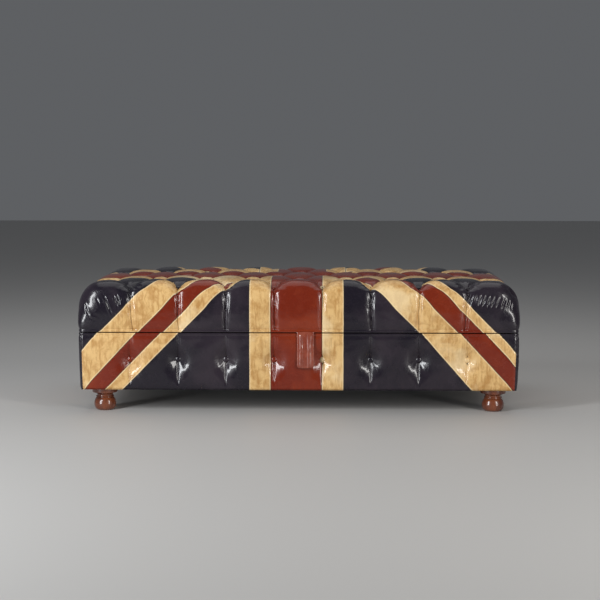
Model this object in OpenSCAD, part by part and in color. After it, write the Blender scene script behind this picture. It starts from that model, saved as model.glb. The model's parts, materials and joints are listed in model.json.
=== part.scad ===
// Storage ottoman: a tufted leather lid hinged on an upholstered box with bun feet.
// Origin: middle of the footprint, on the floor. +X runs along the length, the front faces -Y, +Z is up.

/* [Overall] */
// Length over the leather
length = 1500; // [1460:5:1540]
// Depth over the leather
depth = 620; // [600:5:640]
// Height to the crown of the lid
height = 450; // [440:5:460]
// Height of the bun feet, up to the underside of the box
foot_h = 81; // [78:1:84]
// Height of the top edge of the box
rim_z = 273; // [265:1:280]
// Gap between box and lid, which the hinge leaves fill
lid_gap = 3; // [3:0.5:4]

/* [Upholstery] */
// Thickness of the leather
leather_t = 3; // [2:0.5:4]
// Thickness of the side padding
pad_t = 24; // [20:1:28]
// Radius of the vertical corners
corner_r = 12; // [8:1:16]
// Radius of the roll along the front and back of the lid
front_roll = 60; // [50:1:70]
// Radius of the roll over the ends of the lid
end_roll = 85; // [70:1:90]
// Spacing of the buttons along the length
tuft_x = 164; // [160:1:166]
// Spacing of the button rows across the lid
tuft_y = 132.5; // [128:0.5:134]
// Radius of a covered button
button_r = 11; // [9:0.5:13]
// Depth of a button below the leather
button_sink = 20; // [16:1:22]

/* [Flag pattern] */
// Half width of the red cross
cross_red = 87; // [80:1:95]
// Half width of the cross with its cream border
cross_cream = 160; // [150:1:170]
// Width of the red diagonal, measured along the length
band_red = 82; // [75:1:95]
// Width of the narrow cream diagonal, measured along the length
band_narrow = 54; // [40:1:60]
// Width of the broad cream diagonal, measured along the length
band_broad = 134; // [120:1:140]

/* [Frame] */
// Thickness of the box and rail boards
board_t = 18; // [16:1:20]
// Thickness of the bottom board
bottom_t = 12; // [10:1:14]
// Height of the corner blocks and braces
block_h = 30; // [28:1:34]
// Thickness of the lid deck
deck_t = 15; // [12:1:18]
// Thickness of the lining
lining_t = 3; // [2:0.5:3]

/* [Feet] */
// Distance of each foot's centre from the middle, along the length
foot_x = 668; // [655:1:675]
// Distance of each foot's centre from the middle, across the depth
foot_y = 250; // [240:1:255]
// Radius of the bun
bun_r = 37.5; // [34:0.5:40]
// Radius of the top flange
flange_r = 43.5; // [40:0.5:44]

/* [Hardware] */
// Radius of the hinge knuckles
knuckle_r = 4; // [4:0.5:4.5]
// Radius of the hinge pins
hinge_pin_r = 1.8; // [1.6:0.1:2]
// Running clearance round the pins and studs
run = 0.05; // [0.03:0.01:0.08]
// Radius of the gas strut tube
tube_r = 7.5; // [7:0.5:8]
// Radius of the gas strut rod
rod_r = 4; // [3.5:0.5:4]
// Width of the pull tab
tab_w = 59; // [50:1:65]
// Length of the pull tab below its fold
tab_l = 121; // [110:1:130]

/* [Hidden] */
$fn = 48;
eps = 0.01;
base_bottom = foot_h - leather_t;
lid_bottom = rim_z + lid_gap;
// Half sizes of the box, from the leather inwards
out_x = length / 2;
out_y = depth / 2;
pad_x = out_x - leather_t;
pad_y = out_y - leather_t;
board_x = pad_x - pad_t;
board_y = pad_y - pad_t;
in_x = board_x - board_t;
in_y = board_y - board_t;
clear_x = in_x - lining_t;
clear_y = in_y - lining_t;
board_top = rim_z - leather_t;
floor_z = foot_h + block_h + bottom_t;
block_w = 90;
rail_bottom = lid_bottom + leather_t;
deck_z = 350;
well_r = button_r + 1.5;
button_h = 8;
well_floor = height - button_sink - button_h / 2;
tie_r = 1.5;
tie_gap = 0.1;
row_long = [for (i = [-3.5:1:3.5]) i * tuft_x];
row_short = [for (i = [-4:1:4]) i * tuft_x];
lid_tufts = concat(
    [for (j = [-2, 0, 2], x = row_long) [x, j * tuft_y]],
    [for (j = [-1, 1], x = row_short) [x, j * tuft_y]]
);
base_button_z = 180;
end_tufts = [-tuft_y, tuft_y];
// The pattern is laid on the lid from its middle line, and carried down the sides
pattern_edge = 265;
pattern_drop = 818;
top_stretch = (pattern_drop - height) / out_y;
hinge_y = out_y + 4.5;
hinge_z = rim_z + 1.5;
hinge_x = [-480, 0, 480];
leaf_t = lid_gap / 2 - 0.1;
leaf_l = 38;
leaf_w = 70;
knuckle_w = leaf_w / 5;
screw_r = 2;
screw_l = 16;
screw_x = [-24, 0, 24];
screw_y = board_y - board_t / 2;
strut_x = 690;
strut_foot = [172, 174];
strut_head = [227, 320];
strut_l = norm(strut_head - strut_foot);
strut_a = atan2(strut_head[1] - strut_foot[1], strut_head[0] - strut_foot[0]);
stud_r = 4;
eye_r = 8;
eye_w = 8;
plate_t = 3;
tab_x = 25;
tab_t = 8;
tab_y = -out_y - tab_t / 2 - 0.5;
tab_z = lid_bottom - 1;

wood = [0.76, 0.6, 0.4];
mahogany = [0.34, 0.13, 0.08];
navy = [0.13, 0.11, 0.16];
cream = [0.84, 0.72, 0.5];
red_brown = [0.47, 0.15, 0.08];
foam = [0.93, 0.88, 0.7];
cloth = [0.16, 0.15, 0.15];
steel = [0.65, 0.66, 0.68];
brass = [0.72, 0.56, 0.28];

// ---- shared shapes

// A block between two opposite corners
module block(low, high) {
    translate(low) cube(high - low);
}

// Copies something to the four foot positions
module at_feet() {
    for (x = [-foot_x, foot_x], y = [-foot_y, foot_y])
        translate([x, y, 0]) children();
}

// A rectangle centred on the origin with round corners
module round_plate(half_x, half_y, r) {
    square([2 * (half_x - r), 2 * half_y], center = true);
    square([2 * half_x, 2 * (half_y - r)], center = true);
    for (x = [-1, 1], y = [-1, 1])
        translate([x * (half_x - r), y * (half_y - r)]) circle(r);
}

// A rectangle standing on y = 0 with its two upper corners round
module arch_plate(half_x, top, r) {
    translate([-half_x, 0]) square([2 * half_x, top - r]);
    translate([r - half_x, 0]) square([2 * (half_x - r), top]);
    for (x = [-1, 1])
        translate([x * (half_x - r), top - r]) circle(r);
}

// The upholstered lid, brought in by a distance on every side
module lid_form(inset) {
    top = height - lid_bottom - inset;
    intersection() {
        translate([0, 0, lid_bottom])
            linear_extrude(height) round_plate(out_x - inset, out_y - inset, corner_r - inset / 2);
        translate([0, out_y, lid_bottom]) rotate([90, 0, 0])
            linear_extrude(depth) arch_plate(out_x - inset, top, end_roll - inset);
        translate([-out_x, 0, lid_bottom]) rotate([90, 0, 90])
            linear_extrude(length) arch_plate(out_y - inset, top, front_roll - inset);
    }
}

// The upholstered box, brought in by a distance on every side
module base_form(inset) {
    translate([0, 0, base_bottom + inset])
        linear_extrude(rim_z - base_bottom - 2 * inset)
            round_plate(out_x - inset, out_y - inset, corner_r - inset / 2);
}

// Bores for the covered buttons of the lid
module lid_wells() {
    for (p = lid_tufts)
        translate([p[0], p[1], well_floor]) cylinder(r = well_r, h = height);
}

// Something placed behind each button on the sides of the box, pointing inwards along +Z
module at_front_tufts() {
    for (x = row_long)
        translate([x, -out_y, base_button_z]) rotate([-90, 0, 0]) children();
}

module at_back_tufts() {
    for (x = row_long)
        translate([x, out_y, base_button_z]) rotate([90, 0, 0]) children();
}

module at_end_tufts(side) {
    for (y = end_tufts)
        translate([side * out_x, y, base_button_z]) rotate([0, -90 * side, 0]) children();
}

module side_well() {
    translate([0, 0, -1]) cylinder(r = well_r, h = button_sink + 1);
}

// A covered button with a domed face, its back towards +Z
module button() {
    rotate_extrude() {
        square([button_r - 2, button_h]);
        translate([0, 2]) square([button_r, button_h - 4]);
        for (y = [2, button_h - 2])
            translate([button_r - 2, y]) circle(2);
    }
}

module side_button() {
    translate([0, 0, button_sink - button_h]) button();
}

module side_tie(r) {
    translate([0, 0, button_sink]) cylinder(r = r, h = leather_t + pad_t + board_t - button_sink);
}

// ---- flag pattern on the leather, as flat areas

// A point of the pattern: along the length, and out from the middle line
function spot(u, v, stretch) = [u, -v / stretch];

// One diagonal between two offsets, from the middle of the pattern outwards
module diagonal(side, from, to, stretch) {
    reach = length;
    polygon([
        spot(side * from, 0, stretch), spot(side * to, 0, stretch),
        spot(side * (reach + to), reach, stretch), spot(side * (reach + from), reach, stretch)
    ]);
}

module cross_bars(half, stretch) {
    square([2 * half, 2 * length], center = true);
    square([2 * length, 2 * half / stretch], center = true);
}

// Keeps the first child in the left half and the second in the right
module halves() {
    for (side = [-1, 1])
        intersection() {
            children(side < 0 ? 0 : 1);
            translate([side > 0 ? 0 : -2 * length, -2 * length]) square(2 * length);
        }
}

// The pattern of the front half; the back half is the same, turned half a circle
module front_red(stretch) {
    difference() {
        halves() {
            diagonal(-1, -band_red, 0, stretch);
            diagonal(1, 0, band_red, stretch);
        }
        cross_bars(cross_cream, stretch);
    }
    intersection() {
        cross_bars(cross_red, stretch);
        translate([-length, -2 * length]) square(2 * length);
    }
}

module front_cream(stretch) {
    difference() {
        union() {
            halves() {
                diagonal(-1, -band_red - band_narrow, band_broad, stretch);
                diagonal(1, -band_broad, band_red + band_narrow, stretch);
            }
            intersection() {
                cross_bars(cross_cream, stretch);
                translate([-length, -2 * length]) square(2 * length);
            }
        }
        front_red(stretch);
    }
}

// Spreads a front-half pattern over the top and down the sides
module spread(part_of) {
    for (turn = [0, 180])
        rotate(turn) {
            intersection() {
                translate([0, 0, base_bottom]) linear_extrude(height)
                    if (part_of == "red") front_red(top_stretch); else front_cream(top_stretch);
                block([-length, -pattern_edge, 0], [length, 0, 2 * height]);
            }
            intersection() {
                translate([0, -pattern_edge, pattern_drop]) rotate([90, 0, 0]) linear_extrude(depth)
                    if (part_of == "red") front_red(1); else front_cream(1);
                block([-length, -depth, 0], [length, -pattern_edge, 2 * height]);
            }
        }
}

// ---- box frame

module tie_bores() {
    at_front_tufts() side_tie(tie_r + tie_gap);
    at_back_tufts() side_tie(tie_r + tie_gap);
    for (side = [-1, 1]) at_end_tufts(side) side_tie(tie_r + tie_gap);
}

module hinge_screw_spots(z) {
    for (x = hinge_x, s = screw_x)
        translate([x + s, screw_y, z]) children();
}

module bracket_screw_spots(side, centre) {
    for (z = [-14, 14])
        translate([side * clear_x, centre[0], centre[1] + z]) rotate([0, 90 * side, 0]) children();
}

module front_board() color(wood) {
    difference() {
        block([-board_x, -board_y, foot_h], [board_x, -in_y, board_top]);
        at_front_tufts() side_tie(tie_r + tie_gap);
    }
}

module back_board() color(wood) {
    difference() {
        block([-board_x, in_y, foot_h], [board_x, board_y, board_top]);
        at_back_tufts() side_tie(tie_r + tie_gap);
        hinge_screw_spots(rim_z - screw_l - 1) cylinder(r = screw_r, h = screw_l + 1);
    }
}

module end_board(side) color(wood) {
    difference() {
        if (side < 0) block([-board_x, -in_y, foot_h], [-in_x, in_y, board_top]);
        else block([in_x, -in_y, foot_h], [board_x, in_y, board_top]);
        at_end_tufts(side) side_tie(tie_r + tie_gap);
        bracket_screw_spots(side, strut_foot) cylinder(r = screw_r, h = 12);
    }
}

module bottom_board() color(wood) {
    block([-in_x, -in_y, foot_h + block_h], [in_x, in_y, floor_z]);
}

module bottom_braces() color(wood) {
    for (x = [-330, 0, 330])
        block([x - 20, -in_y, foot_h], [x + 20, in_y, foot_h + block_h]);
}

module corner_blocks() color(wood) {
    for (i = [-1, 1], j = [-1, 1])
        difference() {
            translate([i * (in_x - block_w / 2), j * (in_y - block_w / 2), foot_h + block_h / 2])
                cube([block_w, block_w, block_h], center = true);
            translate([i * foot_x, j * foot_y, 0]) {
                cylinder(r = 4.5, h = 200);
                translate([0, 0, foot_h + block_h - 8]) cylinder(r = 12, h = 50);
            }
        }
}

// ---- box upholstery

module base_foam_front() color(foam) {
    difference() {
        block([-board_x, -pad_y, foot_h], [board_x, -board_y, board_top]);
        at_front_tufts() { side_well(); side_tie(tie_r + tie_gap); }
    }
}

module base_foam_back() color(foam) {
    difference() {
        block([-board_x, board_y, foot_h], [board_x, pad_y, board_top]);
        at_back_tufts() { side_well(); side_tie(tie_r + tie_gap); }
    }
}

// The end pads fill the round corners too
module base_foam_end(side) color(foam) {
    difference() {
        intersection() {
            base_form(leather_t);
            if (side < 0) block([-out_x, -out_y, 0], [-board_x, out_y, height]);
            else block([board_x, -out_y, 0], [out_x, out_y, height]);
        }
        at_end_tufts(side) { side_well(); side_tie(tie_r + tie_gap); }
    }
}

module base_skin() {
    difference() {
        base_form(0);
        base_form(leather_t);
        block([-in_x, -in_y, 0], [in_x, in_y, height]);
        at_front_tufts() side_well();
        at_back_tufts() side_well();
        for (side = [-1, 1]) at_end_tufts(side) side_well();
        at_feet() cylinder(r = flange_r + 0.5, h = foot_h + 1);
        hinge_screw_spots(board_top - 1) cylinder(r = screw_r, h = 10);
    }
}

module base_leather_navy() color(navy) {
    difference() {
        base_skin();
        spread("cream");
        spread("red");
    }
}

module base_leather_cream() color(cream) {
    intersection() {
        base_skin();
        spread("cream");
    }
}

module base_leather_red() color(red_brown) {
    intersection() {
        base_skin();
        spread("red");
    }
}

module base_front_buttons() color(cream) {
    at_front_tufts() side_button();
}

module base_back_buttons() color(cream) {
    at_back_tufts() side_button();
}

module base_end_buttons() color(navy) {
    for (side = [-1, 1]) at_end_tufts(side) side_button();
}

module base_button_ties() color(cloth) {
    at_front_tufts() side_tie(tie_r);
    at_back_tufts() side_tie(tie_r);
    for (side = [-1, 1]) at_end_tufts(side) side_tie(tie_r);
}

module base_lining_walls() color(cloth) {
    difference() {
        block([-in_x, -in_y, floor_z], [in_x, in_y, board_top]);
        block([-clear_x, -clear_y, 0], [clear_x, clear_y, height]);
        for (side = [-1, 1])
            bracket_screw_spots(side, strut_foot) cylinder(r = screw_r, h = 12);
    }
}

module base_lining_floor() color(cloth) {
    block([-clear_x, -clear_y, floor_z], [clear_x, clear_y, floor_z + lining_t]);
}

module dust_cover() color(cloth) {
    difference() {
        block([-in_x + 2, -in_y + 2, foot_h - 1.5], [in_x - 2, in_y - 2, foot_h]);
        at_feet() cylinder(r = flange_r + 0.5, h = foot_h + 1);
    }
}

// ---- feet

// Half outline of the turned foot: bun, bead, cove and flange
module foot_outline() {
    bun_z = 22;
    neck_r = 28;
    bead_z = 46;
    flange_h = 20;
    cove_r = 5.5;
    difference() {
        union() {
            translate([bun_r - bun_z, bun_z]) circle(bun_z);
            square([bun_r - bun_z, 2 * bun_z]);
            translate([0, 2 * bun_z - 2]) square([neck_r, foot_h - 2 * bun_z]);
            translate([neck_r - 1, bead_z]) circle(3);
            translate([0, foot_h - flange_h]) square([flange_r - 2, flange_h]);
            translate([0, foot_h - flange_h + 2]) square([flange_r, flange_h - 4]);
            for (z = [foot_h - flange_h + 2, foot_h - 2])
                translate([flange_r - 2, z]) circle(2);
        }
        translate([-bun_r, -bun_r]) square([bun_r, 4 * bun_r]);
        translate([neck_r + cove_r + 0.5, foot_h - flange_h - cove_r]) circle(cove_r);
    }
}

module foot(i, j) color(mahogany) {
    translate([i * foot_x, j * foot_y, 0])
        difference() {
            rotate_extrude() foot_outline();
            translate([0, 0, foot_h - 42]) cylinder(r = 4, h = 50);
        }
}

module foot_bolts() color(steel) {
    at_feet() translate([0, 0, foot_h - 40]) cylinder(r = 4, h = block_h + 38);
}

module foot_tee_nuts() color(steel) {
    at_feet() difference() {
        translate([0, 0, foot_h + block_h - 8]) {
            cylinder(r = 6, h = 8);
            cylinder(r = 11.5, h = 1.6);
        }
        translate([0, 0, foot_h]) cylinder(r = 4, h = block_h + 1);
    }
}

// ---- lid frame

module lid_tie_bores(r) {
    for (p = lid_tufts)
        translate([p[0], p[1], deck_z]) cylinder(r = r, h = well_floor - deck_z);
}

module lid_deck_board() color(wood) {
    difference() {
        block([-board_x, -board_y, deck_z], [board_x, board_y, deck_z + deck_t]);
        lid_tie_bores(tie_r + tie_gap);
    }
}

module lid_rail_front() color(wood) {
    block([-board_x, -board_y, rail_bottom], [board_x, -in_y, deck_z]);
}

module lid_rail_back() color(wood) {
    difference() {
        block([-board_x, in_y, rail_bottom], [board_x, board_y, deck_z]);
        hinge_screw_spots(lid_bottom - 1) cylinder(r = screw_r, h = screw_l + 2);
    }
}

module lid_rail_end(side) color(wood) {
    difference() {
        if (side < 0) block([-board_x, -in_y, rail_bottom], [-in_x, in_y, deck_z]);
        else block([in_x, -in_y, rail_bottom], [board_x, in_y, deck_z]);
        bracket_screw_spots(side, strut_head) cylinder(r = screw_r, h = 12);
    }
}

// ---- lid upholstery

module lid_pad(low, high) {
    intersection() {
        lid_form(leather_t);
        block(low, high);
    }
}

module lid_foam_top() color(foam) {
    difference() {
        lid_pad([-out_x, -out_y, deck_z + deck_t], [out_x, out_y, height]);
        lid_wells();
        lid_tie_bores(tie_r + tie_gap);
    }
}

module lid_foam_front() color(foam) {
    lid_pad([-board_x, -out_y, rail_bottom], [board_x, -board_y, deck_z + deck_t]);
}

module lid_foam_back() color(foam) {
    lid_pad([-board_x, board_y, rail_bottom], [board_x, out_y, deck_z + deck_t]);
}

module lid_foam_left() color(foam) {
    lid_pad([-out_x, -out_y, rail_bottom], [-board_x, out_y, deck_z + deck_t]);
}

module lid_foam_right() color(foam) {
    lid_pad([board_x, -out_y, rail_bottom], [out_x, out_y, deck_z + deck_t]);
}

module lid_skin() {
    difference() {
        lid_form(0);
        intersection() {
            lid_form(leather_t);
            block([-out_x, -out_y, rail_bottom], [out_x, out_y, height]);
        }
        block([-in_x, -in_y, 0], [in_x, in_y, deck_z]);
        lid_wells();
        hinge_screw_spots(lid_bottom - 1) cylinder(r = screw_r, h = 10);
    }
}

module lid_leather_navy() color(navy) {
    difference() {
        lid_skin();
        spread("cream");
        spread("red");
    }
}

module lid_leather_cream() color(cream) {
    intersection() {
        lid_skin();
        spread("cream");
    }
}

module lid_leather_red() color(red_brown) {
    intersection() {
        lid_skin();
        spread("red");
    }
}

module lid_buttons() color(red_brown) {
    for (p = lid_tufts)
        translate([p[0], p[1], well_floor]) button();
}

module lid_button_ties() color(cloth) {
    lid_tie_bores(tie_r);
}

module lid_lining() color(cloth) {
    difference() {
        block([-in_x, -in_y, rail_bottom], [in_x, in_y, deck_z]);
        block([-clear_x, -clear_y, 0], [clear_x, clear_y, deck_z - lining_t]);
        for (side = [-1, 1])
            bracket_screw_spots(side, strut_head) cylinder(r = screw_r, h = 12);
    }
}

module lid_bumpers() color(cloth) {
    for (x = [-1, 1], y = [-1, 1])
        translate([x * (board_x - board_t / 2), y * (board_y - board_t / 2), rim_z + 0.4])
            cylinder(r = 8, h = lid_gap - 0.4);
}

// ---- hinges

module knuckles(places) {
    for (x = hinge_x, k = places)
        translate([x + (k - 2) * knuckle_w - knuckle_w / 2 + 0.15, hinge_y, hinge_z])
            rotate([0, 90, 0]) cylinder(r = knuckle_r, h = knuckle_w - 0.3);
}

// A leaf reaches only the knuckles that belong to it
module leaf(z, places) {
    for (x = hinge_x) {
        block([x - leaf_w / 2, out_y - leaf_l, z], [x + leaf_w / 2, out_y - 1, z + leaf_t]);
        for (k = places)
            translate([x + (k - 2) * knuckle_w - knuckle_w / 2 + 0.15, out_y - 2, z])
                cube([knuckle_w - 0.3, hinge_y - out_y + 2, leaf_t]);
    }
}

module hinge_pin_bores() {
    for (x = hinge_x)
        translate([x - leaf_w / 2 - 1, hinge_y, hinge_z])
            rotate([0, 90, 0]) cylinder(r = hinge_pin_r + run, h = leaf_w + 2);
}

module screw_sink(r, up) {
    if (up) cylinder(r1 = r, r2 = r + 1.4, h = leaf_t);
    else cylinder(r1 = r + 1.4, r2 = r, h = leaf_t);
}

module hinge_base_leaves() color(brass) {
    difference() {
        union() {
            knuckles([0, 2, 4]);
            leaf(rim_z, [0, 2, 4]);
        }
        hinge_pin_bores();
        hinge_screw_spots(rim_z) screw_sink(screw_r + 0.1, true);
    }
}

module hinge_lid_leaves() color(brass) {
    difference() {
        union() {
            knuckles([1, 3]);
            leaf(lid_bottom - leaf_t, [1, 3]);
        }
        hinge_pin_bores();
        hinge_screw_spots(lid_bottom - leaf_t) screw_sink(screw_r + 0.1, false);
    }
}

module hinge_pins() color(steel) {
    for (x = hinge_x)
        translate([x - leaf_w / 2, hinge_y, hinge_z])
            rotate([0, 90, 0]) cylinder(r = hinge_pin_r, h = leaf_w);
}

module hinge_base_screws() color(steel) {
    hinge_screw_spots(rim_z) screw_sink(screw_r, true);
    hinge_screw_spots(rim_z - screw_l) cylinder(r = screw_r, h = screw_l + eps);
}

module hinge_lid_screws() color(steel) {
    hinge_screw_spots(lid_bottom - leaf_t) screw_sink(screw_r, false);
    hinge_screw_spots(lid_bottom - eps) cylinder(r = screw_r, h = screw_l);
}

// ---- gas struts, one at each end

// Turns a part drawn on the right-hand strut onto either end
module strut_side(side) {
    if (side > 0) children();
    else mirror([1, 0, 0]) children();
}

// Places something along the strut, with +Z pointing from its foot to its head
module along_strut(distance) {
    translate([strut_x, strut_foot[0], strut_foot[1]]) rotate([strut_a - 90, 0, 0])
        translate([0, 0, distance]) children();
}

module strut_plate(centre) {
    translate([clear_x - plate_t, centre[0], centre[1]]) rotate([0, 90, 0])
        difference() {
            linear_extrude(plate_t) round_plate(22, 11, 5);
            for (x = [-14, 14]) translate([x, 0, -1]) cylinder(r = screw_r + 0.1, h = plate_t + 2);
        }
}

module strut_base_brackets() color(steel) {
    for (side = [-1, 1]) strut_side(side) {
        strut_plate(strut_foot);
        translate([strut_x - eye_w / 2 - 1, strut_foot[0], strut_foot[1]]) rotate([0, 90, 0])
            cylinder(r = stud_r, h = clear_x - plate_t - strut_x + eye_w / 2 + 1.5);
    }
}

module strut_lid_brackets() color(steel) {
    for (side = [-1, 1]) strut_side(side) {
        strut_plate(strut_head);
        translate([strut_x + eye_w / 2 + 0.5, strut_head[0], strut_head[1]]) rotate([0, 90, 0])
            cylinder(r = stud_r, h = clear_x - plate_t - strut_x - eye_w / 2);
    }
}

module bracket_screws(centre) {
    for (side = [-1, 1])
        bracket_screw_spots(side, centre) {
            cylinder(r = screw_r, h = 12);
            translate([0, 0, -plate_t - 1.5]) cylinder(r = 3.5, h = 1.5);
            translate([0, 0, -plate_t - eps]) cylinder(r = screw_r, h = plate_t + 2 * eps);
        }
}

module base_bracket_screws() color(steel) {
    bracket_screws(strut_foot);
}

module lid_bracket_screws() color(steel) {
    bracket_screws(strut_head);
}

// Tube with its foot eye, a chamber for the piston and a gland for the rod
module strut_tube(side) color(cloth) {
    tube_from = 6;
    tube_to = 130;
    strut_side(side) difference() {
        union() {
            along_strut(tube_from) cylinder(r = tube_r, h = tube_to - tube_from);
            translate([strut_x - eye_w / 2, strut_foot[0], strut_foot[1]]) rotate([0, 90, 0])
                cylinder(r = eye_r, h = eye_w);
        }
        translate([strut_x - 10, strut_foot[0], strut_foot[1]]) rotate([0, 90, 0])
            cylinder(r = stud_r + run, h = 20);
        along_strut(16) cylinder(r = tube_r - 1.2, h = tube_to - 24);
        along_strut(16) cylinder(r = rod_r + run, h = tube_to);
    }
}

module strut_rod(side) color(steel) {
    piston_at = 17;
    strut_side(side) {
        along_strut(piston_at) cylinder(r = tube_r - 1.25, h = 8);
        along_strut(piston_at) cylinder(r = rod_r, h = strut_l - piston_at - 4);
        along_strut(strut_l - 18) cylinder(r = 6, h = 14);
        translate([strut_x - eye_w / 2, strut_head[0], strut_head[1]]) rotate([0, 90, 0])
            cylinder(r = eye_r, h = eye_w);
    }
}

// ---- pull tab

module pull_tab() color(red_brown) {
    translate([tab_x, tab_y, tab_z]) {
        rotate([0, 90, 0]) cylinder(r = tab_t / 2, h = tab_w, center = true);
        translate([0, tab_t / 2, 0]) rotate([90, 0, 0]) linear_extrude(tab_t) {
            translate([-tab_w / 2, 10 - tab_l]) square([tab_w, tab_l - 10]);
            translate([10 - tab_w / 2, -tab_l]) square([tab_w - 20, tab_l]);
            for (x = [-1, 1]) translate([x * (tab_w / 2 - 10), 10 - tab_l]) circle(10);
        }
    }
}

module pull_tab_anchor() color(red_brown) {
    block([tab_x - tab_w / 2, -out_y, lid_bottom - 1.2], [tab_x + tab_w / 2, -board_y + 4, lid_bottom]);
}

front_board();
back_board();
end_board(-1);  // left_end_board
end_board(1);  // right_end_board
bottom_board();
bottom_braces();
corner_blocks();
base_foam_front();
base_foam_back();
base_foam_end(-1);  // base_foam_left
base_foam_end(1);  // base_foam_right
base_leather_navy();
base_leather_cream();
base_leather_red();
base_front_buttons();
base_back_buttons();
base_end_buttons();
base_button_ties();
base_lining_walls();
base_lining_floor();
dust_cover();
foot(-1, -1);  // foot_front_left
foot(1, -1);  // foot_front_right
foot(-1, 1);  // foot_back_left
foot(1, 1);  // foot_back_right
foot_bolts();
foot_tee_nuts();
hinge_base_leaves();
hinge_lid_leaves();
hinge_pins();
hinge_base_screws();
hinge_lid_screws();
strut_base_brackets();
strut_lid_brackets();
base_bracket_screws();
lid_bracket_screws();
lid_deck_board();
lid_rail_front();
lid_rail_back();
lid_rail_end(-1);  // lid_rail_left
lid_rail_end(1);  // lid_rail_right
lid_foam_top();
lid_foam_front();
lid_foam_back();
lid_foam_left();
lid_foam_right();
lid_leather_navy();
lid_leather_cream();
lid_leather_red();
lid_buttons();
lid_button_ties();
lid_lining();
lid_bumpers();
pull_tab();
pull_tab_anchor();
strut_tube(-1);  // left_strut_tube
strut_rod(-1);  // left_strut_rod
strut_tube(1);  // right_strut_tube
strut_rod(1);  // right_strut_rod
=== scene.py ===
import bpy
import json
import math
import numpy as np
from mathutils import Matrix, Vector


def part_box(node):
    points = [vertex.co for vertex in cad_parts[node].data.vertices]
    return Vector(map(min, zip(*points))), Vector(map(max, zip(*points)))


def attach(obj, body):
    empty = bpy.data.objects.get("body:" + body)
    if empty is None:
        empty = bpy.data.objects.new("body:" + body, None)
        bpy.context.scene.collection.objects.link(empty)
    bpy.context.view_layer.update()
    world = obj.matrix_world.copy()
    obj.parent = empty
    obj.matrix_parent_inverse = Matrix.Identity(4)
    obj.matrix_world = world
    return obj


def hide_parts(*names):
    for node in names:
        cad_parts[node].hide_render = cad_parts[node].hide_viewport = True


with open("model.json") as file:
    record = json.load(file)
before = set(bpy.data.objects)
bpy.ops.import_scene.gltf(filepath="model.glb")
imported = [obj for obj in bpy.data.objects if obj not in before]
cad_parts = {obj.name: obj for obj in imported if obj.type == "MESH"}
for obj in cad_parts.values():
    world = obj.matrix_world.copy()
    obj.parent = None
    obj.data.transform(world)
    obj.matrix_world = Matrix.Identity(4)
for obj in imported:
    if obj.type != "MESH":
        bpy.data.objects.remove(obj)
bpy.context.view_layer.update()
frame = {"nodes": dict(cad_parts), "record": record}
record = frame["record"]

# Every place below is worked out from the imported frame
skinLow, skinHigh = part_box("base_leather_red")
lidLow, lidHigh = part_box("lid_leather_red")
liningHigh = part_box("base_lining_walls")[1]
halfX, halfY = skinHigh.x, skinHigh.y
lipWidth = halfX - liningHigh.x + 0.002
buttonLow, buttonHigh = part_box("base_front_buttons")
tabLow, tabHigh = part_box("pull_tab")

tufting = {
    "pitchX": 0.164,          # between buttons along the length
    "pitchY": 0.1325,         # between button rows
    "outerRow": 2,            # rows from the middle to the shoulder
    "outerColumn": 4,         # columns from the middle to the end
    "crease": 0.020,          # depth of the folds between the diamonds
    "dimple": 0.011,          # how much deeper the leather is at a button
    "dimpleSize": 0.024,
    "dimpleFall": 1.7,        # larger is a flatter floor and a steeper wall
    "fullness": 2.6,          # larger is a flatter diamond with tighter folds
    "swell": 0.8,             # smaller is a rounder diamond
    "pleatEnd": 0.22,         # depth of the soft folds at the hem, against those on top
    "pleat": 0.0034,          # depth of the sharp pleats down the sides
    "pleatWidth": 0.0017,
    "flank": 0.0050,          # depth of the broad valley round each pleat
    "flankWidth": 0.0092,
    "flankFall": 1.6,
    "second": 0.35,           # depth of the small pleat beside each one, against its own
    "secondGap": 4.5,         # how far off it lies, in pleat widths
    "waver": 0.0012,          # how far a pleat strays from a straight line
    "lean": 0.012,            # how far the outermost pleats lean inwards at the hem
    "slant": 0.003,           # and the others, one way or the other
}

flag = {
    "red": 0.087,
    "cream": 0.160,
    "shift": 0.006,           # how far the cross sits left of the middle
    "band": 0.082,
    "narrow": 0.137,
    "uneven": 0.008,          # the narrow band is this much wider on the left
    "broad": 0.134,
    "spread": 0.055,          # how much the diagonals widen or narrow down the box
    "tucked": 0.088,          # leather swallowed by the folds before the front flap
    "turnedIn": 0.006,        # leather turned in at the gap between lid and box
    "cornerStrip": 0.011,     # how far the end panels reach round the corners of the box
    "downBox": 0.930,         # pattern against leather down the box
}

lidShape = {
    "roll": (0.085, 0.060, 0.092),
    "cell": 0.0105,
    "fineCell": 0.0027,       # where the leather is creased
    "cornerAtHem": 8.0,       # how square the vertical corners are at the hem
    "cornerAtTop": 2.3,
    "hem": 0.008,
    "bulge": 0.0026,          # how far the padding pushes the sides out above the hem
    "edge": 0.0010,           # how far the hem rolls in at the gap
    "crown": 0.006,           # how much lower the top is towards the ends
    "hemLine": 0.0022,        # depth of the pressed line above the hem
    "hemLineWidth": 0.0022,
    "hemSunk": 0.0010,        # how far the hem lies behind the padding
    "seam": 0.0011,           # depth of the seams between the patches
    "lips": (0.003, 0.010, 0.022, 0.034),
}

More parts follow.
